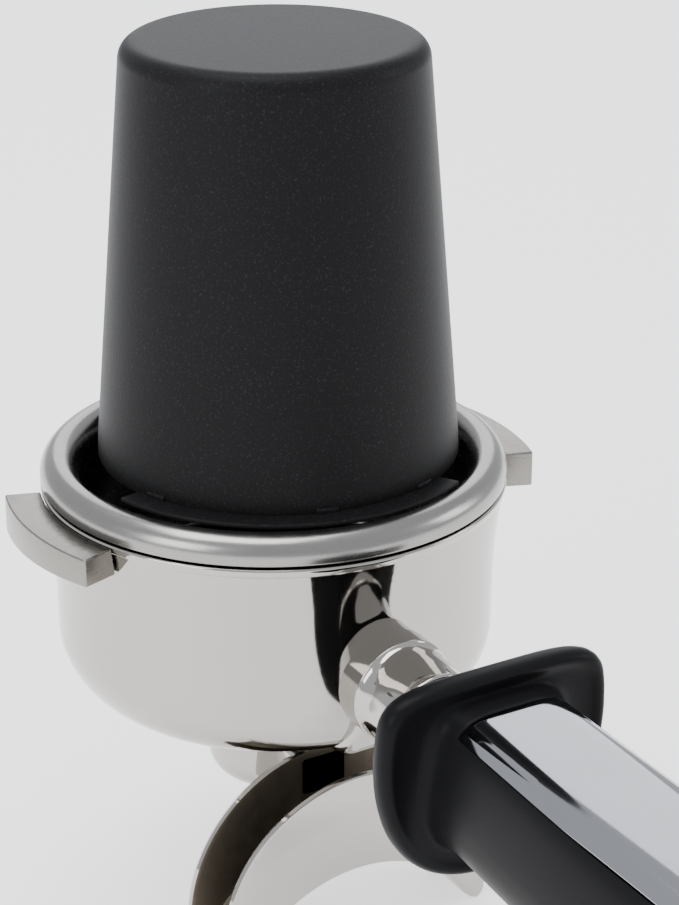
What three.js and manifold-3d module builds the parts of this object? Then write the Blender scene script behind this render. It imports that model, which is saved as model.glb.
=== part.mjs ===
// Double-spout portafilter with its filter basket, and a dosing cup standing mouth down on the basket.
// Millimetres, +Z up. The bayonet lugs lie along X and the handle points along -Y.
import * as THREE from "three";
import { mergeVertices } from "three/addons/utils/BufferGeometryUtils.js";
import Module from "manifold-3d";

const wasm = await Module();
wasm.setup();

// Driving dimensions
const rimRadius = 35; // rolled rim of a commercial 58 mm basket
const basketBore = 29.25;
const fit = 0.3; // gap left between two pieces that touch
const spoutDrop = 71; // from the basket rim down to the spout tips
const bowlDepth = 37;
const bowlBore = 30.3;
const lugRadius = 40.4;
const lugHalfAngle = THREE.MathUtils.degToRad(19.5);
const neckStart = 34; // from the bowl axis to the foot of the handle neck
const neckDepth = 23.3; // handle axis below the basket rim at the neck's foot
const handleDrop = THREE.MathUtils.degToRad(2.5);
const guardAt = 22.7; // along the handle from the neck's foot
const gripEnd = 146;
const capEnd = 150;
const studRadius = 4;
const cupHeight = 62.4;
const cupMouth = 27.05;
const cupTop = 22.3;
const cupWall = 1.2;
const cupOffset = new THREE.Vector3(0.5, -0.6, 0);
const bowlFromMiddle = 74.7; // the bowl axis lies this far behind the middle of the whole length

const chrome = { color: 0xc9c7c2, roughness: 0.12, metalness: 1 };
const satinNickel = { color: 0xb3afa8, roughness: 0.35, metalness: 1 };
const blackPlastic = { color: 0x1b1b1d, roughness: 0.45, metalness: 0 };
const blackCoat = { color: 0x232325, roughness: 0.5, metalness: 0.1 };
const zincSteel = { color: 0x9fa3a8, roughness: 0.4, metalness: 1 };
const blackRubber = { color: 0x141414, roughness: 0.8, metalness: 0 };

// Shapes in the radius and height plane, and solids made from them
const point = (x, y) => new THREE.Vector2(x, y);

function arc(x, y, radius, from, to, steps) {
  const points = [];
  for (let i = 0; i <= steps; i += 1) {
    const angle = THREE.MathUtils.degToRad(from + ((to - from) * i) / steps);
    points.push(point(x + radius * Math.cos(angle), y + radius * Math.sin(angle)));
  }
  return points;
}

// A profile runs up its outer side, so that the turned faces look outwards.
function turned(profile, segments = 60) {
  return new THREE.LatheGeometry(profile, segments).rotateX(Math.PI / 2);
}

function turnedRing(profile, segments) {
  return turned([...profile, profile[0].clone()], segments);
}

function rod(radius, length) {
  return new THREE.CylinderGeometry(radius, radius, length, 32).rotateX(Math.PI / 2);
}

function bored(outer, inner, from, to) {
  return turnedRing([point(inner, from), point(outer, from), point(outer, to), point(inner, to)], 32);
}

function block(width, depth, height, x, y, z) {
  return new THREE.BoxGeometry(width, depth, height).translate(x, y, z);
}

// An outline in the X and Z plane, pushed from y = near towards -Y.
function pushed(outline, near, length, curveSegments = 24) {
  const options = { depth: length, bevelEnabled: false, curveSegments };
  return new THREE.ExtrudeGeometry(outline, options).rotateX(Math.PI / 2).translate(0, near, 0);
}

function solid(geometry) {
  const bare = geometry.clone();
  bare.deleteAttribute("normal");
  bare.deleteAttribute("uv");
  const merged = mergeVertices(bare, 1e-4);
  const vertProperties = new Float32Array(merged.attributes.position.array);
  const triVerts = new Uint32Array(merged.index.array);
  return new wasm.Manifold(new wasm.Mesh({ numProp: 3, vertProperties, triVerts }));
}

function surface(manifold) {
  const mesh = manifold.getMesh();
  const geometry = new THREE.BufferGeometry();
  geometry.setAttribute("position", new THREE.BufferAttribute(mesh.vertProperties, 3));
  geometry.setIndex(new THREE.BufferAttribute(mesh.triVerts, 1));
  geometry.computeVertexNormals();
  return geometry;
}

function piece(name, geometry, finish) {
  const mesh = new THREE.Mesh(geometry, new THREE.MeshStandardMaterial(finish));
  mesh.name = name;
  return mesh;
}

// Bowl: a thick cup with a narrow threaded boss below, bored out for the basket.
const bossRadius = 10.7;
const bossLength = 1.2;
const bowlFloor = -bowlDepth + 4;
const threadRadius = 8.3;

function bowlOutside(grow) {
  const foot = 11.5; // fillet between the wall and the bottom
  return [
    point(21.7, -bowlDepth - grow),
    ...arc(33.2 - foot, -bowlDepth + foot, foot + grow, -75, 0, 6),
    point(33.3 + grow, -18),
    point(33.6 + grow, -12),
    point(34.2 + grow, -7),
    point(rimRadius - 0.1 + grow, -2.7),
  ];
}

function portafilterBody() {
  const groove = { top: -8.2, bottom: -9.8, radius: 31.6 };
  const profile = [
    point(threadRadius + fit, bowlFloor),
    point(threadRadius + fit, -bowlDepth - bossLength),
    point(bossRadius, -bowlDepth - bossLength),
    point(bossRadius, -bowlDepth),
    ...bowlOutside(0),
    point(bowlBore, -2.7),
    point(bowlBore, groove.top),
    point(groove.radius, groove.top),
    point(groove.radius, groove.bottom),
    point(bowlBore, groove.bottom),
    ...arc(bowlBore - 8, bowlFloor + 8, 8, 0, -90, 4),
  ];
  return piece("portafilter_body", turnedRing(profile), chrome);
}

// The bowl's outer shape grown by the fit gap, which trims whatever is welded to the bowl.
const bowlClearance = solid(turned([
  point(0, -bowlDepth - fit),
  ...bowlOutside(fit),
  point(rimRadius + fit, 1),
  point(0, 1),
]));

// Bayonet lugs: thick ears on both sides, each with a ramp below that draws the basket up to the gasket.
function sector(radius, from, to, bottom, height) {
  const outline = new THREE.Shape();
  outline.moveTo(0, 0);
  outline.lineTo(radius * Math.cos(from), radius * Math.sin(from));
  outline.absarc(0, 0, radius, from, to, false);
  outline.closePath();
  const options = { depth: height, bevelEnabled: false, curveSegments: 16 };
  return new THREE.ExtrudeGeometry(outline, options).translate(0, 0, bottom);
}

function lug(name, turn) {
  const top = -3;
  const thickest = 5.6;
  const rise = 0.7; // half of the ramp's height
  const ear = solid(sector(lugRadius, -lugHalfAngle, lugHalfAngle, top - thickest, thickest));
  const slope = Math.atan(rise / (lugRadius * Math.sin(lugHalfAngle)));
  const below = block(40, 60, 10, 36, 0, -5).rotateX(slope).translate(0, 0, top - thickest + rise);
  const ramped = ear.subtract(solid(below)).subtract(bowlClearance);
  return piece(name, surface(ramped).rotateZ(turn), satinNickel);
}

// Handle neck: a round socket welded to the bowl, on a web that runs down the bowl's side.
function spun(profile, segments = 28) {
  return new THREE.LatheGeometry(profile, segments).rotateZ(Math.PI);
}

function handleNeck() {
  const socket = spun([
    point(0, -4),
    point(8, -4),
    point(8, 2.8),
    point(7.3, 5),
    point(7.1, 12),
    point(studRadius + fit, 12),
    point(studRadius + fit, 4),
    point(0, 4),
  ]);
  socket.rotateX(handleDrop).translate(0, -neckStart, -neckDepth);
  const side = new THREE.Shape();
  side.moveTo(24, -27);
  side.lineTo(36.6, -27);
  side.bezierCurveTo(35.6, -33, 32.5, -36.4, 24, -bowlDepth + 0.2);
  side.closePath();
  const webWidth = 12;
  const web = new THREE.ExtrudeGeometry(side, { depth: webWidth, bevelEnabled: false, curveSegments: 8 });
  web.rotateX(Math.PI / 2).rotateZ(-Math.PI / 2).translate(webWidth / 2, 0, 0);
  const neck = solid(socket).add(solid(web)).subtract(bowlClearance);
  return piece("handle_neck", surface(neck), chrome);
}

function handleRing(name, inner, outer, from, to, finish) {
  const ring = [point(inner, from), point(outer, from), point(outer, to), point(inner, to)];
  return piece(name, spun([...ring, ring[0].clone()]), finish);
}

function neckFerrule() {
  const inner = studRadius + fit;
  const ring = [point(inner, 12.3), point(6.9, 12.3), point(7.1, 14), point(6.4, 21.2), point(inner, 21.2)];
  return piece("neck_ferrule", spun([...ring, ring[0].clone()]), chrome);
}

// Grip: one moulding of a shield-shaped guard and a rounded body that swells towards the palm.
const gripTop = 11.6;
const gripBottom = -11.3;

function gripSection() {
  const outline = new THREE.Shape();
  outline.moveTo(0, gripBottom);
  outline.bezierCurveTo(6.5, gripBottom, 10.8, -8.2, 11.8, -0.7);
  outline.bezierCurveTo(12.3, 4, 11.8, 7.6, 10.4, 9);
  outline.quadraticCurveTo(5, gripTop, 0, gripTop);
  outline.quadraticCurveTo(-5, gripTop, -10.4, 9);
  outline.bezierCurveTo(-11.8, 7.6, -12.3, 4, -11.8, -0.7);
  outline.bezierCurveTo(-10.8, -8.2, -6.5, gripBottom, 0, gripBottom);
  return outline;
}

// The body is narrow at the guard, widest two thirds along, and its top widens more than its belly.
function swell(geometry) {
  const places = geometry.attributes.position;
  for (let i = 0; i < places.count; i += 1) {
    const along = THREE.MathUtils.clamp((-places.getY(i) - guardAt) / (capEnd - guardAt), 0, 1);
    const upward = (places.getZ(i) - gripBottom) / (gripTop - gripBottom);
    const bulge = Math.sin(Math.PI * Math.min(along * 0.75, 0.5)) - 0.18 * along * along;
    const wide = THREE.MathUtils.lerp(0.95 + 0.2 * bulge, 0.76 + 0.32 * bulge, upward);
    places.setX(i, places.getX(i) * wide);
    places.setZ(i, places.getZ(i) * (1 + 0.06 * bulge));
  }
  return geometry;
}

function gripBody(from, to) {
  const options = { depth: to - from, steps: 12, bevelEnabled: false, curveSegments: 5 };
  const body = new THREE.ExtrudeGeometry(gripSection(), options);
  return solid(swell(body.rotateX(Math.PI / 2).translate(0, -from, 0)));
}

function guard() {
  const outline = new THREE.Shape();
  outline.moveTo(17.4, 7);
  outline.bezierCurveTo(17.2, -5, 9.6, -15.3, 0, -15.3);
  outline.bezierCurveTo(-9.6, -15.3, -17.2, -5, -17.4, 7);
  outline.lineTo(-17, 9);
  outline.quadraticCurveTo(-17, 11.6, -14, 12);
  outline.quadraticCurveTo(0, 15.8, 14, 12);
  outline.quadraticCurveTo(17, 11.6, 17, 9);
  const rounding = { bevelThickness: 1.2, bevelSize: 1.2, bevelSegments: 2, curveSegments: 8 };
  const plate = new THREE.ExtrudeGeometry(outline, { depth: 1.6, ...rounding });
  return solid(plate.rotateX(Math.PI / 2).translate(0, -guardAt - rounding.bevelThickness, 0));
}

const boltPocket = { radius: 8.8, from: 128 };
const plateEnds = { from: 27.5, to: 118 };
const plateWidth = 17.4;

function plateSlab(gap) {
  const length = plateEnds.to - plateEnds.from + 2 * gap;
  const floor = 9.2 - gap;
  const middle = (plateEnds.from + plateEnds.to) / 2;
  return solid(block(plateWidth + 2 * gap, length, 10, 0, -middle, floor + 5));
}

function lengthwiseHole(radius, from) {
  return solid(spun([point(0, from), point(radius, from), point(radius, capEnd), point(0, capEnd)]));
}

function handleGrip() {
  const bore = lengthwiseHole(studRadius + fit, guardAt - 1);
  const pocket = lengthwiseHole(boltPocket.radius, boltPocket.from);
  const body = gripBody(guardAt + 2, gripEnd).add(guard()).subtract(plateSlab(fit));
  return piece("handle_grip", surface(body.subtract(bore).subtract(pocket)), blackPlastic);
}

function handleTopPlate() {
  const plate = gripBody(guardAt + 2, gripEnd).intersect(plateSlab(0));
  return piece("handle_top_plate", surface(plate), chrome);
}

const capScrew = { radius: 1.5, head: 2.8, headLength: 2 };

function handleEndCap() {
  const lid = gripBody(gripEnd + fit, capEnd);
  const spigotEnd = gripEnd - 2.5;
  const spigotRadius = boltPocket.radius - fit;
  const spigot = spun([
    point(0, spigotEnd),
    point(spigotRadius, spigotEnd),
    point(spigotRadius, gripEnd + 1),
    point(0, gripEnd + 1),
  ]);
  const shank = capScrew.radius + fit;
  const head = capScrew.head + fit;
  const seat = capEnd - capScrew.headLength - fit;
  const hole = spun([
    point(0, spigotEnd - 1),
    point(shank, spigotEnd - 1),
    point(shank, seat),
    point(head, seat),
    point(head, capEnd + 1),
    point(0, capEnd + 1),
  ]);
  return piece("handle_end_cap", surface(lid.add(solid(spigot)).subtract(solid(hole))), blackPlastic);
}

// Stud that holds the grip against the neck, with its washers and nut in the pocket at the far end.
const studEnd = 141;
const studTapping = 9;

function handleStud() {
  const hole = capScrew.radius + fit;
  const profile = [
    point(0, 4 + fit),
    point(studRadius, 4 + fit),
    point(studRadius, studEnd),
    point(hole, studEnd),
    point(hole, studEnd - studTapping),
    point(0, studEnd - studTapping),
  ];
  return piece("handle_stud", spun(profile, 24), zincSteel);
}

function endCapScrew() {
  const shoulder = capEnd - capScrew.headLength;
  const profile = [
    point(0, studEnd - studTapping + fit),
    point(capScrew.radius, studEnd - studTapping + fit),
    point(capScrew.radius, shoulder),
    point(capScrew.head, shoulder),
    point(capScrew.head, capEnd),
    point(0, capEnd),
  ];
  return piece("end_cap_screw", spun(profile, 20), zincSteel);
}

function studNut() {
  const { corners, length, middle } = { corners: 7.5, length: 6.5, middle: 135.75 };
  const hexagon = new THREE.CylinderGeometry(corners, corners, length, 6).translate(0, -middle, 0);
  const hole = lengthwiseHole(studRadius + fit, middle - length);
  return piece("stud_nut", surface(solid(hexagon).subtract(hole)), zincSteel);
}

function handle() {
  const group = new THREE.Group();
  const clear = studRadius + fit;
  group.add(neckFerrule());
  group.add(handleRing("ferrule_washer", clear, 6, 21.5, 22.4, blackRubber));
  group.add(handleStud());
  group.add(handleGrip());
  group.add(handleTopPlate());
  group.add(handleRing("stud_washer", clear, 8.2, 128.3, 129.9, zincSteel));
  group.add(handleRing("stud_lock_washer", clear, 6.8, 130.2, 132.2, zincSteel));
  group.add(studNut());
  group.add(handleEndCap());
  group.add(endCapScrew());
  group.position.set(0, -neckStart, -neckDepth);
  group.rotation.x = handleDrop;
  return group;
}

// Basket: a deep-drawn steel cup that hangs on the bowl by its rolled rim.
function filterBasket() {
  const wall = 0.5;
  const bottom = -24.6;
  const seat = 1.2;
  const profile = [
    point(0, bottom),
    ...arc(basketBore + wall - 2.6, bottom + 2.6, 2.6, -90, 0, 4),
    point(basketBore + wall, -2.4),
    point(rimRadius - 0.3, -2.4),
    point(rimRadius, -2.1),
    point(rimRadius, -1.3),
    ...arc(32, -1.3, 3, 18, 96, 5),
    point(31.4, seat),
    point(basketBore, seat),
    ...arc(basketBore - 2.1, bottom + 2.6, 2.1, 0, -90, 4),
    point(0, bottom + wall),
  ];
  return piece("filter_basket", turned(profile), satinNickel);
}

function basketSpring() {
  const wire = 0.6;
  const ring = new THREE.TorusGeometry(30.72, wire, 8, 60).translate(0, 0, -9);
  const opening = block(6, 6, 4, 0, 30.7, -9);
  return piece("basket_spring", surface(solid(ring).subtract(solid(opening))), zincSteel);
}

// Double spout: a hub screwed up into the bowl, feeding an open gutter that arches over to both sides.
const hubTop = -bowlDepth - bossLength - 1.4;
const hubBottom = -53;
const gutter = { near: 13, width: 12, wall: 1.4, radius: 23.4, centre: -66.3, belly: 23.1, bellyCentre: -82.2 };

function gutterOutline() {
  const drop = gutter.centre + spoutDrop;
  const tip = Math.asin(drop / gutter.radius);
  const inside = Math.asin((-spoutDrop - gutter.bellyCentre) / gutter.belly);
  const outline = new THREE.Shape();
  outline.absarc(0, gutter.centre, gutter.radius, -tip, Math.PI + tip, false);
  outline.absarc(0, gutter.bellyCentre, gutter.belly, Math.PI - inside, inside, true);
  outline.closePath();
  return outline;
}

function gutterChannel() {
  const outline = new THREE.Shape();
  outline.moveTo(30, gutter.bellyCentre);
  outline.lineTo(30, -36);
  outline.lineTo(-30, -36);
  outline.lineTo(-30, gutter.bellyCentre);
  outline.absarc(0, gutter.bellyCentre, gutter.belly + gutter.wall, Math.PI, 0, true);
  outline.closePath();
  return pushed(outline, -gutter.near - gutter.wall, gutter.width - 2 * gutter.wall);
}

function doubleSpout() {
  const hub = turned([
    point(0, hubBottom),
    ...arc(bossRadius - 3, hubBottom + 3, 3, -90, 0, 4),
    point(bossRadius, hubTop),
    point(threadRadius, hubTop),
    point(threadRadius, bowlFloor - fit),
    point(0, bowlFloor - fit),
  ], 48);
  const passage = turned([
    point(0, -50.5),
    point(6.5, -50.5),
    point(8.2, -48.5),
    point(8.2, -42),
    point(6, -41),
    point(6, -30),
    point(0, -30),
  ], 32);
  const bridge = block(10.4, 6, 8.4, 0, -10.5, -47.4);
  const window = block(7.8, 12, 6, 0, -11, -47.4);
  const arch = solid(pushed(gutterOutline(), -gutter.near, gutter.width));
  const casting = solid(hub).add(solid(bridge)).add(arch);
  const cuts = solid(passage).add(solid(window)).add(solid(gutterChannel()));
  return piece("double_spout", surface(casting.subtract(cuts)), chrome);
}

function spoutGasket() {
  const ring = bored(bossRadius - fit, threadRadius + fit, hubTop + fit, hubTop + 1.1);
  return piece("spout_gasket", ring, blackRubber);
}

// Dosing cup: a coned cup standing on its mouth, where two wide tabs rest on the basket's rim.
function dosingCup() {
  const mouth = 1.5;
  const top = mouth + cupHeight;
  const edge = 2.75;
  const shell = turned([
    point(0, top - cupWall),
    point(cupTop - edge, top - cupWall),
    point(cupTop - cupWall, top - edge),
    point(cupMouth - cupWall, mouth),
    point(cupMouth, mouth),
    ...arc(cupTop - edge, top - edge, edge, 0, 90, 5),
    point(0, top),
  ]);
  const tabRadius = 30.3;
  const tabTurn = THREE.MathUtils.degToRad(66);
  const tabHalfAngle = THREE.MathUtils.degToRad(54);
  const hollow = solid(rod(cupMouth - 0.6, 10).translate(0, 0, mouth));
  let cup = solid(shell);
  for (const turn of [tabTurn, tabTurn - Math.PI]) {
    const tab = solid(sector(tabRadius, turn - tabHalfAngle, turn + tabHalfAngle, mouth, 0.7));
    cup = cup.add(tab.subtract(hollow));
  }
  const mesh = piece("dosing_cup", surface(cup), blackCoat);
  mesh.position.copy(cupOffset);
  return mesh;
}

const portafilter = new THREE.Group();
portafilter.add(portafilterBody());
portafilter.add(lug("lug_right", 0));
portafilter.add(lug("lug_left", Math.PI));
portafilter.add(handleNeck());
portafilter.add(handle());
portafilter.add(filterBasket());
portafilter.add(basketSpring());
portafilter.add(spoutGasket());
portafilter.add(doubleSpout());
portafilter.add(dosingCup());
portafilter.position.set(0, bowlFromMiddle, spoutDrop);

const root = new THREE.Group();
root.add(portafilter);
export default root;
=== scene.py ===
import math

import bmesh
import bpy
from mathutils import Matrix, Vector


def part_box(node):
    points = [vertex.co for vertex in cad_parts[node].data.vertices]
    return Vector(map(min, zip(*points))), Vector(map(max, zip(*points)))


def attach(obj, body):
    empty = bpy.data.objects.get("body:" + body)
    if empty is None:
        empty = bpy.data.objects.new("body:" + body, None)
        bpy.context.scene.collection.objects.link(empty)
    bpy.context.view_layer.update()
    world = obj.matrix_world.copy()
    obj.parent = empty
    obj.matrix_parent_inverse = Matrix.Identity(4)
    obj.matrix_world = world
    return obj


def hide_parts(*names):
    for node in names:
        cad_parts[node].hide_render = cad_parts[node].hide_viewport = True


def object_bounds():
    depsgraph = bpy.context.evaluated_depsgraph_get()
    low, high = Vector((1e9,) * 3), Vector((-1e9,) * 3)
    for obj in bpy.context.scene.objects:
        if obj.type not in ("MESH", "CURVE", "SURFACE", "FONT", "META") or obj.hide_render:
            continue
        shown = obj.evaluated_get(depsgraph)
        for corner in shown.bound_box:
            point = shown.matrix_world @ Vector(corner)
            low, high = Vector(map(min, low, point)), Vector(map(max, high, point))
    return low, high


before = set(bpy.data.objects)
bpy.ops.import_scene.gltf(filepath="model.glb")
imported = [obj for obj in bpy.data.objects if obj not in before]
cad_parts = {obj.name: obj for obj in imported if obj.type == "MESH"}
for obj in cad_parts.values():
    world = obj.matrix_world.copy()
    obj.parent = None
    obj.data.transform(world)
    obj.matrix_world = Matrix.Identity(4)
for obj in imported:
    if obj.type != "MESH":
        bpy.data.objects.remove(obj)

# The studio: a pale floor that the spout tips stand on, seen from above the left of the handle.
# The rim of the basket is the datum that the portafilter is measured from.
bpy.ops.object.select_all(action="DESELECT")
cad_low, cad_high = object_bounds()
basket_low, basket_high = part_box("filter_basket")
mm = 0.001
spout_drop = 71 * mm
rim = (basket_low + basket_high) / 2
rim.z = cad_low.z + spout_drop

bpy.ops.object.camera_add(location=rim + Vector((-0.17964, -0.31751, 0.15423)))
camera = bpy.context.object
camera.name = "camera"
look = rim + Vector((0.0086, -0.00487, 0.0002)) - camera.location
camera.rotation_euler = look.to_track_quat("-Z", "Y").to_euler()
camera.data.lens = 104.9
camera.data.sensor_width = 36
camera.data.clip_start = 0.01
bpy.context.scene.camera = camera

bpy.ops.mesh.primitive_plane_add(size=6, location=(0, 0, -0.0004))
floor = bpy.context.object
floor.name = "studio_floor"
floor_paint = bpy.data.materials.new("studio floor")
floor_paint.use_nodes = True
floor_shader = floor_paint.node_tree.nodes["Principled BSDF"]
floor_shader.inputs["Base Color"].default_value = (0.92, 0.92, 0.92, 1)
floor_shader.inputs["Roughness"].default_value = 0.8
floor_shader.inputs["Emission Color"].default_value = (1, 1, 1, 1)
floor_shader.inputs["Emission Strength"].default_value = 0.9
floor.data.materials.append(floor_paint)

world = bpy.data.worlds.new("studio")
world.use_nodes = True
world.node_tree.nodes["Background"].inputs["Color"].default_value = (0.93, 0.95, 1, 1)
world.node_tree.nodes["Background"].inputs["Strength"].default_value = 0.95
bpy.context.scene.world = world


def softbox(name, place, size, power, colour=(1, 1, 1)):
    """A square studio light that faces the bowl."""
    bpy.ops.object.light_add(type="AREA", location=rim + Vector(place))
    light = bpy.context.object
    light.name = name
    light.rotation_euler = (-Vector(place)).to_track_quat("-Z", "Y").to_euler()
    light.data.size = size
    light.data.energy = power
    light.data.color = colour


softbox("softbox_above", (-0.1, 0.1, 0.9), 0.6, 7)
softbox("softbox_behind", (0.5, 0.85, 0.55), 0.8, 4, (0.94, 0.96, 1))
softbox("softbox_left", (-0.9, -0.2, 0.45), 0.5, 4)
softbox("softbox_right", (0.9, -0.35, 0.4), 0.4, 2)

# The bowl: a thick brass cup, turned inside and out, then chrome plated and polished. A groove in its
# bore takes the basket spring, and the threaded boss below takes the spout.


def turn(name, rings, centre=rim, sides=160, hollow=False):
    """Turns a piece about an upright axis: each ring is (radius, height) in millimetres from the centre.

    A hollow piece closes on its first ring, and any other ends in flat discs."""
    bpy.ops.object.select_all(action="DESELECT")
    radius, height = rings[0]
    bpy.ops.mesh.primitive_circle_add(
        vertices=sides,
        radius=radius * mm,
        fill_type="NOTHING" if hollow else "NGON",
        location=(centre.x, centre.y, centre.z + height * mm),
    )
    piece = bpy.context.object
    piece.name = name
    bpy.ops.object.mode_set(mode="EDIT")
    bpy.ops.mesh.select_all(action="SELECT")
    for (old, low), (new, high) in zip(rings, rings[1:]):
        bpy.ops.mesh.extrude_region_move(TRANSFORM_OT_translate={"value": (0, 0, (high - low) * mm)})
        bpy.ops.transform.resize(
            value=(new / old, new / old, 1), center_override=(centre.x, centre.y, centre.z + high * mm)
        )
    if hollow:
        bpy.ops.mesh.select_all(action="DESELECT")
        bpy.ops.mesh.select_non_manifold()
        bpy.ops.mesh.bridge_edge_loops()
    bpy.ops.mesh.select_all(action="SELECT")
    bpy.ops.mesh.normals_make_consistent(inside=False)
    bpy.ops.object.mode_set(mode="OBJECT")
    bpy.ops.object.transform_apply(location=True, rotation=True, scale=True)
    smooth(piece)
    return piece


def smooth(piece, degrees=30):
    bpy.ops.object.select_all(action="DESELECT")
    piece.select_set(True)
    bpy.context.view_layer.objects.active = piece
    bpy.ops.object.shade_smooth_by_angle(angle=math.radians(degrees))


def fillet(radius, height, size, start, end, steps=10):
    """Rings along a fillet of that size about the point (radius, height)."""
    turns = [math.radians(start + (end - start) * i / steps) for i in range(steps + 1)]
    return [(radius + size * math.cos(a), height + size * math.sin(a)) for a in turns]


def metal(name, colour, rough, rougher, grain=900, bump=0.02, stretch=(1, 1, 1)):
    """Bare or plated metal whose polish varies from rough to rougher, with fine marks stretched one way."""
    finish = bpy.data.materials.new(name)
    finish.use_nodes = True
    nodes, links = finish.node_tree.nodes, finish.node_tree.links
    shader = nodes["Principled BSDF"]
    shader.inputs["Metallic"].default_value = 1
    place = nodes.new("ShaderNodeTexCoord")
    lay = nodes.new("ShaderNodeMapping")
    lay.inputs["Scale"].default_value = stretch
    marks = nodes.new("ShaderNodeTexNoise")
    marks.inputs["Scale"].default_value = grain
    marks.inputs["Detail"].default_value = 6
    clouds = nodes.new("ShaderNodeTexNoise")
    clouds.inputs["Scale"].default_value = 45
    clouds.inputs["Detail"].default_value = 3
    polish = nodes.new("ShaderNodeMapRange")
    polish.inputs["To Min"].default_value = rough
    polish.inputs["To Max"].default_value = rougher
    tint = nodes.new("ShaderNodeMixRGB")
    tint.inputs["Color1"].default_value = (*colour, 1)
    tint.inputs["Color2"].default_value = (*(0.93 * part for part in colour), 1)
    relief = nodes.new("ShaderNodeBump")
    relief.inputs["Strength"].default_value = bump
    relief.inputs["Distance"].default_value = 0.0002
    links.new(place.outputs["Object"], lay.inputs["Vector"])
    links.new(lay.outputs["Vector"], marks.inputs["Vector"])
    links.new(place.outputs["Object"], clouds.inputs["Vector"])
    links.new(marks.outputs["Fac"], polish.inputs["Value"])
    links.new(clouds.outputs["Fac"], tint.inputs["Fac"])
    links.new(marks.outputs["Fac"], relief.inputs["Height"])
    links.new(polish.outputs["Result"], shader.inputs["Roughness"])
    links.new(tint.outputs["Color"], shader.inputs["Base Color"])
    links.new(relief.outputs["Normal"], shader.inputs["Normal"])
    return finish


chrome = metal("polished chrome", (0.43, 0.412, 0.387), 0.03, 0.09)
bowl_rings = [
    (8.6, -38.2),
    (10.4, -38.2),
    *fillet(10.3, -37.8, 0.4, -60, 0, 3),
    (10.7, -37.3),
    (11.1, -37),
    *fillet(21.7, -25.5, 11.5, -90, 0, 24),
    (33.22, -22),
    (33.3, -18),
    (33.42, -15),
    (33.6, -12),
    (33.88, -9.5),
    (34.2, -7),
    (34.45, -5.2),
    (34.6, -4.1),
    (34.85, -3.8),
    *fillet(34.6, -3.1, 0.4, -20, 90, 5),
    (31.2, -2.7),
    *fillet(30.8, -3.2, 0.5, 90, 180, 4),
    (30.3, -8.2),
    (31.6, -8.2),
    (31.6, -9.8),
    (30.3, -9.8),
    *fillet(22.3, -25, 8, 0, -90, 14),
    (9.2, -33),
    (8.6, -33.5),
]
bowl = turn("portafilter_bowl", bowl_rings, sides=192, hollow=True)
bowl.data.materials.append(chrome)
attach(bowl, "holder")
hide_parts("portafilter_body")

# The bayonet lugs: two cast ears welded on, ground flat above and ramped below, left with the satin of
# the grinding belt.


def eased(node, name, width, segments=3):
    """A copy of a frame piece with its sharp edges eased."""
    piece = bpy.data.objects.new(name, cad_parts[node].data.copy())
    bpy.context.scene.collection.objects.link(piece)
    piece.data.materials.clear()
    bpy.ops.object.select_all(action="DESELECT")
    piece.select_set(True)
    bpy.context.view_layer.objects.active = piece
    bpy.ops.object.mode_set(mode="EDIT")
    bpy.ops.mesh.select_all(action="SELECT")
    bpy.ops.mesh.remove_doubles(threshold=0.00001)
    bpy.ops.mesh.dissolve_limited(angle_limit=math.radians(0.5))
    bpy.ops.object.mode_set(mode="OBJECT")
    round_edges(piece, width, segments)
    smooth(piece)
    return piece


def round_edges(piece, width, segments=3, sharper_than=35):
    bevel = piece.modifiers.new("eased edges", "BEVEL")
    bevel.width = width * mm
    bevel.segments = segments
    bevel.limit_method = "ANGLE"
    bevel.angle_limit = math.radians(sharper_than)
    bpy.context.view_layer.objects.active = piece
    bpy.ops.object.modifier_apply(modifier=bevel.name)


satin = metal("ground satin nickel", (0.25, 0.236, 0.214), 0.2, 0.4, grain=700, bump=0.25, stretch=(1, 1, 5))
for side in ("right", "left"):
    lug = eased(f"lug_{side}", f"bayonet_lug_{side}", 0.35)
    lug.data.materials.append(satin)
    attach(lug, "holder")
    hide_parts(f"lug_{side}")

# The handle neck: a round socket turned with a raised foot, which is welded to the bowl. The handle leaves
# the bowl here and drops a little as it goes.
neck_foot = rim + Vector((0, -34, -23.3)) * mm
handle_drop = math.radians(2.5)


def onto_handle(piece):
    """Lays a piece that was made upright along the handle, with its foot on the neck's foot."""
    bpy.ops.object.select_all(action="DESELECT")
    piece.select_set(True)
    bpy.context.view_layer.objects.active = piece
    piece.rotation_euler = (math.pi / 2 + handle_drop, 0, 0)
    piece.location = neck_foot
    bpy.ops.object.transform_apply(location=True, rotation=True, scale=True)
    return piece


upright = Vector((0, 0, 0))  # handle pieces are made standing on this point
neck_rings = [
    (8, -3),
    (8, 2.4),
    *fillet(7.7, 2.5, 0.3, 0, 60, 3),
    (7.66, 3.1),
    (7.45, 3.8),
    (7.34, 4.6),
    (7.3, 5.6),
    (7.3, 7.2),
    (7.25, 9),
    (7.12, 11.2),
    *fillet(6.6, 11.5, 0.5, 0, 90, 4),
]
neck = onto_handle(turn("handle_neck_socket", neck_rings, upright, 128))
neck.data.materials.append(chrome)
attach(neck, "holder")
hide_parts("handle_neck")

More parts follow.
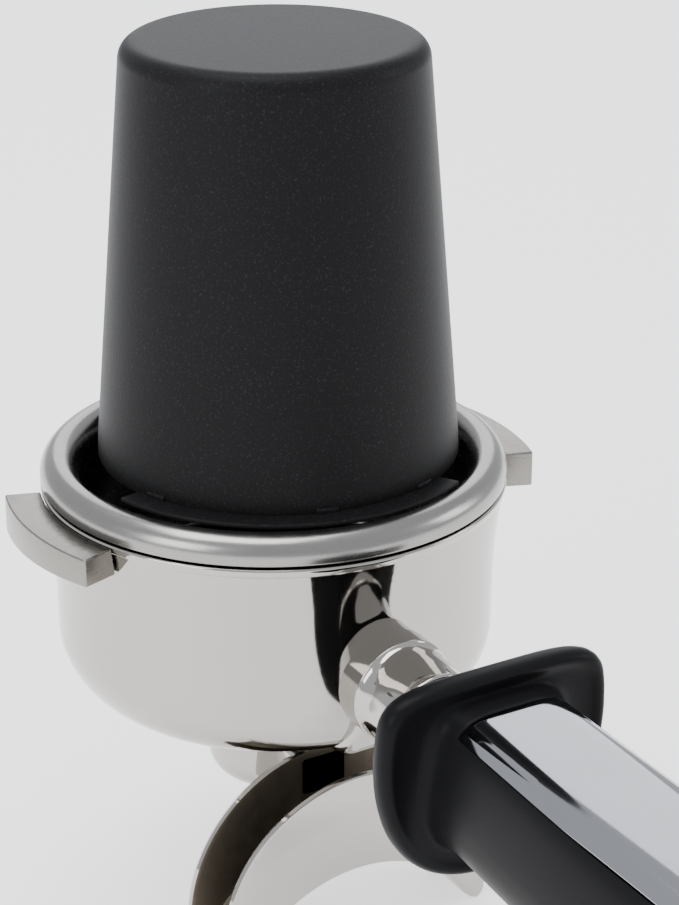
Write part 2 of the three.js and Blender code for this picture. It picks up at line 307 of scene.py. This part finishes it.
# The web below the neck: a short rib that runs down the bowl's side and stiffens the weld. Its foot is
# drawn in under the bowl and all its corners are well rounded.
bpy.ops.object.select_all(action="DESELECT")
bpy.ops.mesh.primitive_cube_add(size=1, location=rim + Vector((0, -30.5, -31.8)) * mm)
web = bpy.context.object
web.name = "neck_web"
web.scale = Vector((11.6, 11.6, 9.8)) * mm
bpy.ops.object.transform_apply(location=True, rotation=True, scale=True)
bpy.ops.object.mode_set(mode="EDIT")
web_mesh = bmesh.from_edit_mesh(web.data)
for edge in web_mesh.edges:
    middle = (edge.verts[0].co + edge.verts[1].co) / 2 - rim
    edge.select = middle.y < -36 * mm and middle.z < -36 * mm
web_mesh.select_flush(True)
bmesh.update_edit_mesh(web.data)
bpy.ops.transform.translate(value=(0, 6 * mm, 0))
bpy.ops.mesh.bevel(offset=4 * mm, segments=6)
bpy.ops.object.mode_set(mode="OBJECT")
round_edges(web, 2.4, 5)
smooth(web)
web.data.materials.append(chrome)
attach(web, "holder")

# The ferrule: a plated sleeve that covers the joint between the neck and the guard. A black rubber washer
# behind it takes up the play in the joint.
ferrule_rings = [
    (5, 12.3),
    *fillet(6.5, 12.7, 0.4, -90, 0, 4),
    (7.05, 14),
    (6.95, 16),
    (6.6, 19.3),
    *fillet(6.05, 20.9, 0.3, 0, 90, 3),
]
ferrule = onto_handle(turn("neck_ferrule_sleeve", ferrule_rings, upright, 96))
ferrule.data.materials.append(chrome)
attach(ferrule, "holder")
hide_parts("neck_ferrule")


def rubber(name):
    """Matte black moulded rubber, slightly dusty."""
    finish = bpy.data.materials.new(name)
    finish.use_nodes = True
    nodes, links = finish.node_tree.nodes, finish.node_tree.links
    shader = nodes["Principled BSDF"]
    shader.inputs["Roughness"].default_value = 0.75
    place = nodes.new("ShaderNodeTexCoord")
    dust = nodes.new("ShaderNodeTexNoise")
    dust.inputs["Scale"].default_value = 600
    shade = nodes.new("ShaderNodeMixRGB")
    shade.inputs["Color1"].default_value = (0.012, 0.012, 0.012, 1)
    shade.inputs["Color2"].default_value = (0.03, 0.029, 0.028, 1)
    links.new(place.outputs["Object"], dust.inputs["Vector"])
    links.new(dust.outputs["Fac"], shade.inputs["Fac"])
    links.new(shade.outputs["Color"], shader.inputs["Base Color"])
    return finish


black_rubber = rubber("black rubber")


def repaint(node, finish):
    """Gives a frame piece that is right as it is its real finish."""
    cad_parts[node].data.materials.clear()
    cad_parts[node].data.materials.append(finish)


repaint("ferrule_washer", black_rubber)

# The grip: one moulding of black plastic. Its guard is a shield dished towards the hand with a rolled
# edge, and the body behind it swells from a narrow throat to fill the palm.


def moulded_plastic(name, colour, gloss):
    """Moulded black plastic: a fine satin skin with faint flow marks and slight rubbing."""
    finish = bpy.data.materials.new(name)
    finish.use_nodes = True
    nodes, links = finish.node_tree.nodes, finish.node_tree.links
    shader = nodes["Principled BSDF"]
    shader.inputs["Specular IOR Level"].default_value = 0.06
    place = nodes.new("ShaderNodeTexCoord")
    skin = nodes.new("ShaderNodeTexNoise")
    skin.inputs["Scale"].default_value = 2600
    skin.inputs["Detail"].default_value = 2
    rub = nodes.new("ShaderNodeTexNoise")
    rub.inputs["Scale"].default_value = 60
    rub.inputs["Detail"].default_value = 4
    polish = nodes.new("ShaderNodeMapRange")
    polish.inputs["To Min"].default_value = gloss - 0.06
    polish.inputs["To Max"].default_value = gloss + 0.08
    shade = nodes.new("ShaderNodeMixRGB")
    shade.inputs["Color1"].default_value = (*colour, 1)
    shade.inputs["Color2"].default_value = (*(1.35 * part for part in colour), 1)
    relief = nodes.new("ShaderNodeBump")
    relief.inputs["Strength"].default_value = 0.12
    relief.inputs["Distance"].default_value = 0.0001
    links.new(place.outputs["Object"], skin.inputs["Vector"])
    links.new(place.outputs["Object"], rub.inputs["Vector"])
    links.new(rub.outputs["Fac"], polish.inputs["Value"])
    links.new(rub.outputs["Fac"], shade.inputs["Fac"])
    links.new(skin.outputs["Fac"], relief.inputs["Height"])
    links.new(polish.outputs["Result"], shader.inputs["Roughness"])
    links.new(shade.outputs["Color"], shader.inputs["Base Color"])
    links.new(relief.outputs["Normal"], shader.inputs["Normal"])
    return finish


black_plastic = moulded_plastic("black moulded plastic", (0.006, 0.006, 0.0066), 0.36)

# An outline is (half width, half width of the top, middle, top, bottom, squareness above and below).
guard_edge = (18.3, 17.6, 6, 14.95, -16.4, 0.43, 0.86)
throat = (10.9, 9.6, 0, 11.5, -11.2, 0.44, 0.72)
palm = (12.9, 10.2, 0, 12.1, -11.8, 0.46, 0.7)
heel = (12.7, 10.1, 0, 12, -11.6, 0.5, 0.7)


def between(first, second, share):
    return tuple(a + (b - a) * share for a, b in zip(first, second))


def shrunk(outline, scale):
    half, half_top, *heights, above, below = outline
    middle, top, bottom = (height * scale for height in heights)
    return (half * scale, half_top * scale, middle, top, bottom, above, below)


def section(distance, outline, points=128):
    """The outline's points, that far along the handle."""
    half, half_top, middle, top, bottom, above, below = outline
    loop = []
    for number in range(points):
        turn_angle = math.tau * (number + 0.5) / points
        across, up = math.cos(turn_angle), math.sin(turn_angle)
        power, reach = (above, top - middle) if up > 0 else (below, middle - bottom)
        rise = math.copysign(abs(up) ** power, up) * reach
        width = half + (half_top - half) * max(0, rise) / (top - middle)
        sideways = width * math.copysign(abs(across) ** power, across)
        loop.append(Vector((sideways, middle + rise, distance)) * mm)
    return loop


def draw_out(name, loops):
    """A moulding drawn out through loops that all have the same number of points."""
    bpy.ops.object.select_all(action="DESELECT")
    bpy.ops.mesh.primitive_circle_add(vertices=len(loops[0]), radius=10 * mm, fill_type="NGON")
    piece = bpy.context.object
    piece.name = name
    bpy.ops.object.mode_set(mode="EDIT")
    for number, loop in enumerate(loops):
        if number:
            bpy.ops.mesh.extrude_region_move()
        mesh = bmesh.from_edit_mesh(piece.data)
        face = next(face for face in mesh.faces if face.select and len(face.verts) == len(loop))
        for spot, vert in zip(loop, face.verts):
            vert.co = spot
        bmesh.update_edit_mesh(piece.data)
    bpy.ops.mesh.select_all(action="SELECT")
    bpy.ops.mesh.normals_make_consistent(inside=False)
    bpy.ops.object.mode_set(mode="OBJECT")
    return piece


def knock_out(piece, tool, action="DIFFERENCE"):
    """Cuts the tool out of the piece, or joins or keeps what it covers."""
    cut = piece.modifiers.new("cut", "BOOLEAN")
    cut.operation = action
    cut.object = tool
    cut.solver = "EXACT"
    bpy.context.view_layer.objects.active = piece
    bpy.ops.object.modifier_apply(modifier=cut.name)
    bpy.data.objects.remove(tool)


def slab(size, place, origin=upright):
    bpy.ops.object.select_all(action="DESELECT")
    bpy.ops.mesh.primitive_cube_add(size=1, location=origin + Vector(place) * mm)
    block = bpy.context.object
    block.scale = Vector(size) * mm
    bpy.ops.object.transform_apply(location=True, rotation=True, scale=True)
    return block


dish = shrunk(guard_edge, 0.84)
guard_loops = [
    section(22.8, shrunk(guard_edge, 0.4)),
    section(22.7, shrunk(guard_edge, 0.9)),
    section(22.85, shrunk(guard_edge, 0.95)),
    section(23.3, shrunk(guard_edge, 0.98)),
    section(24, shrunk(guard_edge, 0.996)),
    section(24.9, guard_edge),
    section(25.7, shrunk(guard_edge, 0.992)),
    section(26.35, shrunk(guard_edge, 0.97)),
    section(26.65, shrunk(guard_edge, 0.94)),
    section(26.6, shrunk(guard_edge, 0.91)),
    section(26.3, shrunk(guard_edge, 0.88)),
    section(26.05, dish),
    section(25.95, between(dish, throat, 0.3)),
    section(26, between(dish, throat, 0.55)),
    section(26.25, between(dish, throat, 0.74)),
    section(26.8, between(dish, throat, 0.87)),
    section(27.7, between(dish, throat, 0.95)),
    section(29, between(dish, throat, 0.99)),
]
swelling = [math.sin(math.radians(7.5 * step)) for step in range(13)]
throat_at, body_step = 31, 5
palm_at, heel_step = 91, 6.8
body_loops = [
    section(throat_at + body_step * step, between(throat, palm, share)) for step, share in enumerate(swelling)
]
heel_loops = [
    section(palm_at + heel_step * step, between(palm, heel, (step / 8) ** 2)) for step in range(1, 9)
]
grip = draw_out("handle_grip_moulding", guard_loops + body_loops + heel_loops)
plate_width, plate_length, plate_middle = 19, 88, 74
recess_play = 0.4
recess_size = (plate_width + recess_play, 10, plate_length + recess_play)
knock_out(grip, slab(recess_size, (0, 14, plate_middle)))
round_edges(grip, 0.3, 2, 45)
smooth(grip, 40)
onto_handle(grip)
grip.data.materials.append(black_plastic)
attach(grip, "holder")
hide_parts("handle_grip")

# The end cap: a moulding of the same black plastic that closes the pocket in the grip's heel. It has a
# rounded edge and a sunk seat for its screw.
cap_loops = [
    section(146.3, shrunk(heel, 0.985)),
    section(146.5, heel),
    section(148, heel),
    section(149.1, shrunk(heel, 0.975)),
    section(149.7, shrunk(heel, 0.93)),
    section(150, shrunk(heel, 0.86)),
    section(150, shrunk(heel, 0.6)),
]
cap = draw_out("handle_heel_cap", cap_loops)
knock_out(cap, turn("screw_seat", [(3.3, 147.9), (3.3, 151)], upright, 64))
round_edges(cap, 0.25, 2, 60)
smooth(cap, 40)
onto_handle(cap)
cap.data.materials.append(black_plastic)
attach(cap, "holder")
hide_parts("handle_end_cap")

# The cap's screw: a cheese-head machine screw of zinc plated steel with a hexagon socket, turned and then
# plated. The rod, nut and washers inside the grip and the spring in the bowl have the same plating.
zinc = metal("zinc plated steel", (0.5, 0.51, 0.52), 0.25, 0.45, grain=1500, bump=0.1)
screw_rings = [
    (1.1, 132.4),
    (1.5, 132.8),
    (1.5, 148),
    (2.8, 148),
    *fillet(2.5, 149.7, 0.3, 0, 90, 3),
    (1.8, 150),
]
screw = turn("heel_cap_screw", screw_rings, upright, 64)
bpy.ops.object.select_all(action="DESELECT")
bpy.ops.mesh.primitive_cylinder_add(vertices=6, radius=1.3 * mm, depth=2.6 * mm, location=(0, 0, 150 * mm))
bpy.ops.object.transform_apply(location=True, rotation=True, scale=True)
knock_out(screw, bpy.context.object)
smooth(screw)
onto_handle(screw)
screw.data.materials.append(zinc)
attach(screw, "holder")
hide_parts("end_cap_screw")
for fastener in ("handle_stud", "stud_washer", "stud_lock_washer", "stud_nut", "basket_spring"):
    repaint(fastener, zinc)

# The top plate: polished stainless sheet, pressed to the crown of the grip and let into its top. Two
# tapered flutes are pressed into it, one by each border, and each runs out to a point.
plate_steel = metal("polished stainless plate", (0.35, 0.357, 0.375), 0.05, 0.11, grain=500, bump=0.01)
plate = draw_out("handle_top_plate_sheet", [*guard_loops[-3:], *body_loops, *heel_loops])
plate_size = (plate_width, 10, plate_length)
knock_out(plate, slab(plate_size, (0, 14.2, plate_middle)), "INTERSECT")


def flute(side, near, far, wide, narrow):
    """A tapered tool between two places, each (across, up, along)."""
    start = Vector((side * near[0], near[1], near[2])) * mm
    end = Vector((side * far[0], far[1], far[2])) * mm
    bpy.ops.object.select_all(action="DESELECT")
    bpy.ops.mesh.primitive_cone_add(
        vertices=48,
        radius1=wide * mm,
        radius2=narrow * mm,
        depth=(end - start).length,
        location=(start + end) / 2,
    )
    tool = bpy.context.object
    tool.rotation_euler = (end - start).to_track_quat("Z", "Y").to_euler()
    bpy.ops.object.transform_apply(location=True, rotation=True, scale=True)
    return tool


for side in (-1, 1):
    knock_out(plate, flute(side, (8.4, 11.6, 28), (8.4, 11.3, 58), 1.7, 0.45))
    knock_out(plate, flute(side, (6.3, 11.75, 28), (8, 11.55, 58), 0.55, 0.3))
round_edges(plate, 0.18, 3, 30)
smooth(plate, 35)
onto_handle(plate)
plate.data.materials.append(plate_steel)
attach(plate, "holder")
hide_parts("handle_top_plate")

# The basket: deep-drawn stainless steel with a rolled rim, and a floor perforated with rows of fine holes.
# It drops into the bowl, where the spring holds it.
basket_rings = [
    (24, -24.6),
    *fillet(27.15, -22, 2.6, -90, 0, 8),
    (29.75, -3.2),
    *fillet(30.45, -3.1, 0.7, 180, 90, 4),
    (34.2, -2.4),
    *fillet(34.5, -1.9, 0.5, -90, 0, 4),
    (35, -1.35),
    *fillet(32, -1.3, 3, 2, 92, 12),
    (31.5, 1.66),
    (31.1, 1.45),
    (30.6, 1.02),
    (30.1, 0.4),
    (29.65, -0.4),
    (29.35, -1.4),
    (29.25, -2.6),
    *fillet(27.15, -22, 2.1, 0, -90, 8),
    (24, -24.1),
]
basket_look = ((0.29, 0.283, 0.272), 0.16, 0.34, 260, 0.05, (1, 1, 8))
basket_steel = metal("drawn basket steel", *basket_look)
basket = turn("filter_basket_pressing", basket_rings, sides=192)
basket.data.materials.append(basket_steel)


def perforate(finish, spacing=1.3):
    """Adds rows of fine dark holes to a finish."""
    nodes, links = finish.node_tree.nodes, finish.node_tree.links
    cells = nodes.new("ShaderNodeTexVoronoi")
    cells.inputs["Scale"].default_value = 1000 / spacing
    cells.inputs["Randomness"].default_value = 0
    hole = nodes.new("ShaderNodeMath")
    hole.operation = "LESS_THAN"
    hole.inputs[1].default_value = 0.2
    place = nodes.new("ShaderNodeTexCoord")
    shader = nodes["Principled BSDF"]
    dark = nodes.new("ShaderNodeMixRGB")
    dark.inputs["Color2"].default_value = (0.01, 0.01, 0.01, 1)
    links.new(place.outputs["Object"], cells.inputs["Vector"])
    links.new(cells.outputs["Distance"], hole.inputs[0])
    links.new(hole.outputs[0], dark.inputs["Fac"])
    links.new(shader.inputs["Base Color"].links[0].from_socket, dark.inputs["Color1"])
    links.new(dark.outputs["Color"], shader.inputs["Base Color"])


perforated_steel = metal("perforated basket steel", *basket_look)
perforate(perforated_steel)
basket.data.materials.append(perforated_steel)
for face in basket.data.polygons:
    face.material_index = int(len(face.vertices) > 4)
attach(basket, "basket")
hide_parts("filter_basket")

# The double spout: a cast hub screwed into the boss, with a window that feeds an open gutter. The gutter
# arches to both sides and is polished outside and left as cast inside. A rubber gasket seals the hub.
belly_radius, belly_centre = 23.1, -82.2
brim_radius, brim_centre = 23.4, -66.3
nose_start, nose_size = -69.9, 1.1
gutter_near, gutter_far, gutter_wall = -25, -13, 1.4
lip_depth = 1.7


def gutter_loop(inner, outer, reach):
    """The gutter's cross-section, set between a place on its belly and one on its brim, both (across, up).

    Reach is the depth of the section there before the tip's rounding draws the two places together."""
    near, far, wall = gutter_near, gutter_far, gutter_wall
    floor_at = min(wall, reach - lip_depth)
    half_section = [
        (0, far - 0.6),
        (0.18, far - 0.18),
        (0.6, far),
        (reach - 0.7, far),
        (reach - 0.2, far - 0.2),
        (reach, far - 0.7),
        (reach - 0.2, far - 1.2),
        (reach - 0.7, far - wall),
        (floor_at + 0.9, far - wall),
        (floor_at + 0.26, far - wall - 0.26),
        (floor_at, far - wall - 0.9),
    ]
    section_points = half_section + [(up, near + far - along) for up, along in reversed(half_section)]
    loop = []
    for up, along in section_points:
        spot = Vector(inner).lerp(Vector(outer), up / reach)
        loop.append(rim + Vector((spot.x, along, spot.y)) * mm)
    return loop


def nose_loop(side, roll):
    """A loop in the round nose of one tip, which starts just above the foot and closes to a narrow flat."""
    height = nose_start - nose_size * math.sin(math.radians(roll))
    inset = nose_size - nose_size * math.cos(math.radians(roll))
    belly = math.sqrt(belly_radius**2 - (height - belly_centre) ** 2)
    brim = math.sqrt(brim_radius**2 - (height - brim_centre) ** 2)
    return gutter_loop((side * (belly + inset), height), (side * (brim - inset), height), brim - belly)


def arch_loop(share):
    """A loop that share of the way along the arch from the left nose to the right one."""
    belly_turn = math.radians(147.82 - 115.64 * share)
    brim_turn = math.radians(188.85 - 197.7 * share)
    inner = belly_radius * Vector((math.cos(belly_turn), math.sin(belly_turn)))
    outer = brim_radius * Vector((math.cos(brim_turn), math.sin(brim_turn)))
    inner.y += belly_centre
    outer.y += brim_centre
    return gutter_loop(inner, outer, (outer - inner).length)


rolls = (90, 75, 60, 45, 30, 15)
gutter_loops = [
    *(nose_loop(-1, roll) for roll in rolls),
    *(arch_loop(step / 72) for step in range(73)),
    *(nose_loop(1, roll) for roll in reversed(rolls)),
]
spout = draw_out("double_spout_casting", gutter_loops)
hub_rings = [
    (4, -53),
    (6, -53),
    *fillet(6.2, -48.5, 4.5, -90, 0, 12),
    (10.7, -40),
    *fillet(10.3, -40, 0.4, 0, 90, 3),
    (8.4, -39.6),
    (8.3, -39.4),
    (8.3, -33.8),
    *fillet(7.9, -33.7, 0.4, 0, 90, 3),
    (6.2, -33.3),
    (6, -33.5),
    (6, -41),
    (8.2, -42),
    (8.2, -48.5),
    (6.5, -50.5),
    (4, -50.5),
]
hub = turn("hub", hub_rings, sides=96)
bridge = slab((10.4, 6.8, 8.4), (0, -10.9, -47.4), rim)
round_edges(bridge, 0.8, 4)
knock_out(hub, bridge, "UNION")
knock_out(spout, hub, "UNION")
window = slab((7.4, 12, 6), (0, -11, -47.4), rim)
round_edges(window, 0.6, 3)
knock_out(spout, window)
smooth(spout, 35)
spout.data.materials.append(chrome)
# The trough's inner faces get a rough as-cast finish with a much darker brown base colour than the chrome
# outside.
as_cast = metal("dark as cast brass inside the trough", (0.13, 0.11, 0.085), 0.4, 0.6, grain=500, bump=0.3)
spout.data.materials.append(as_cast)
trough_near, trough_far, trough_radius = -23.7, -14.3, 24.1
for face in spout.data.polygons:
    place = (face.center - rim) / mm
    outward = Vector((place.x, 0, place.z - belly_centre))
    faces_in = abs(face.normal.y) > 0.5 or face.normal.dot(outward.normalized()) > 0.2
    in_trough = trough_near < place.y < trough_far and outward.length > trough_radius
    face.material_index = int(in_trough and faces_in)
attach(spout, "spout")
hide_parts("double_spout")

repaint("spout_gasket", black_rubber)

# The dosing cup: spun metal with a powder coat, standing on its mouth. Two wide tabs at the mouth rest on
# the basket's rim.


def powder_coat(name):
    """Satin black powder coat: a fine pebbled skin with tiny paler specks."""
    finish = bpy.data.materials.new(name)
    finish.use_nodes = True
    nodes, links = finish.node_tree.nodes, finish.node_tree.links
    shader = nodes["Principled BSDF"]
    shader.inputs["Specular IOR Level"].default_value = 0.07
    place = nodes.new("ShaderNodeTexCoord")
    pebbles = nodes.new("ShaderNodeTexNoise")
    pebbles.inputs["Scale"].default_value = 3000
    pebbles.inputs["Detail"].default_value = 3
    specks = nodes.new("ShaderNodeMapRange")
    specks.inputs["From Min"].default_value = 0.56
    specks.inputs["From Max"].default_value = 0.72
    shade = nodes.new("ShaderNodeMixRGB")
    shade.inputs["Color1"].default_value = (0.0085, 0.0085, 0.009, 1)
    shade.inputs["Color2"].default_value = (0.02, 0.02, 0.0207, 1)
    polish = nodes.new("ShaderNodeMapRange")
    polish.inputs["To Min"].default_value = 0.36
    polish.inputs["To Max"].default_value = 0.52
    relief = nodes.new("ShaderNodeBump")
    relief.inputs["Strength"].default_value = 0.35
    relief.inputs["Distance"].default_value = 0.0001
    links.new(place.outputs["Object"], pebbles.inputs["Vector"])
    links.new(pebbles.outputs["Fac"], specks.inputs["Value"])
    links.new(specks.outputs["Result"], shade.inputs["Fac"])
    links.new(pebbles.outputs["Fac"], polish.inputs["Value"])
    links.new(pebbles.outputs["Fac"], relief.inputs["Height"])
    links.new(shade.outputs["Color"], shader.inputs["Base Color"])
    links.new(polish.outputs["Result"], shader.inputs["Roughness"])
    links.new(relief.outputs["Normal"], shader.inputs["Normal"])
    return finish


cup_axis = rim + Vector((0.5, -0.6, 0)) * mm
cup_rings = [
    (18.8, 62.7),
    (19.3, 62.7),
    *fillet(19.6, 61.2, 1.5, 90, 5, 6),
    (25.75, 2.2),
    *fillet(26.4, 2.05, 0.55, 180, 360, 8),
    (26.85, 4.4),
    *fillet(19.45, 61.15, 2.75, 4, 90, 14),
    (18.9, 63.9),
]
cup = turn("dosing_cup_shell", cup_rings, cup_axis, 192)
black_coat = powder_coat("black powder coat")
cup.data.materials.append(black_coat)
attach(cup, "cup")
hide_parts("dosing_cup")


def sweep_tab(name, inner, outer, low, high, from_angle, to_angle):
    """A flat tab swept round the cup's axis, with eased edges."""
    start = math.radians(from_angle)
    middle = (inner + outer) / 2
    bpy.ops.object.select_all(action="DESELECT")
    bpy.ops.mesh.primitive_plane_add(size=1)
    tab = bpy.context.object
    tab.name = name
    tab.scale = ((outer - inner) * mm, (high - low) * mm, 1)
    tab.rotation_euler = (math.pi / 2, 0, start)
    direction = Vector((math.cos(start), math.sin(start), 0))
    tab.location = cup_axis + (middle * direction + Vector((0, 0, (low + high) / 2))) * mm
    bpy.ops.object.transform_apply(location=True, rotation=True, scale=True)
    bpy.ops.object.mode_set(mode="EDIT")
    bpy.ops.mesh.select_all(action="SELECT")
    sweep = to_angle - from_angle
    steps = max(4, round(sweep / 2))
    bpy.ops.mesh.spin(steps=steps, angle=math.radians(sweep), center=cup_axis, axis=(0, 0, -1))
    bpy.ops.mesh.select_all(action="SELECT")
    bpy.ops.mesh.normals_make_consistent(inside=False)
    bpy.ops.object.mode_set(mode="OBJECT")
    round_edges(tab, 0.25, 3)
    smooth(tab)
    tab.data.materials.append(black_coat)
    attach(tab, "cup")


sweep_tab("front_tab", 26.6, 30.3, 1.5, 2.2, -168, -60)
sweep_tab("back_tab", 26.6, 30.3, 1.5, 2.2, 12, 120)
for number, turned_to in enumerate((-160, -105, -69), 1):
    sweep_tab(f"foot_nib_{number}", 26.3, 27.3, 2, 2.9, turned_to - 3.5, turned_to + 3.5)
